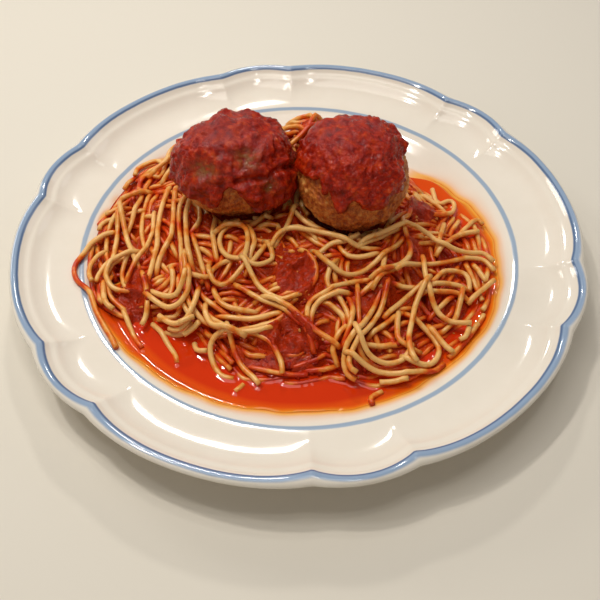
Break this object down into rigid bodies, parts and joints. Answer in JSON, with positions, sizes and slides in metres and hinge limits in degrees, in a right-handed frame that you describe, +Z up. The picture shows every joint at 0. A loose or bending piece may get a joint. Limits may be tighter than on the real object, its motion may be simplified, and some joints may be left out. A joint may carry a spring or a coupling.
{
  "type": "spaghetti and meatballs on a plate",
  "caption": "A heap of spaghetti in red sauce with large sauced meatballs, on a scalloped dinner plate with blue lines.",
  "frame": {"origin": "under the middle of the plate, on the surface that its foot stands on", "axes": "+Z up, -Y towards the diner, +X to the diner's right"},
  "size_m": [0.2696, 0.2682, 0.0698],
  "materials": {
    "glaze": "cream gloss glaze with blue lines",
    "pasta": "wet cooked pasta, stained with sauce",
    "meat": "browned crumbly minced meat",
    "chunky_sauce": "wet chunky tomato sauce",
    "thin_sauce": "thin oily tomato sauce"
  },
  "bodies": {
    "root": {"plate": "glaze", "spaghetti": "pasta", "meatball_left": "meat", "meatball_right": "meat", "sauce_on_left": "chunky_sauce", "sauce_on_right": "chunky_sauce", "sauce_patch_back": "chunky_sauce", "sauce_patch_front": "chunky_sauce", "sauce_patch_middle": "chunky_sauce", "sauce_patch_side": "chunky_sauce", "thin_sauce": "thin_sauce"}
  },
  "joints": []
}
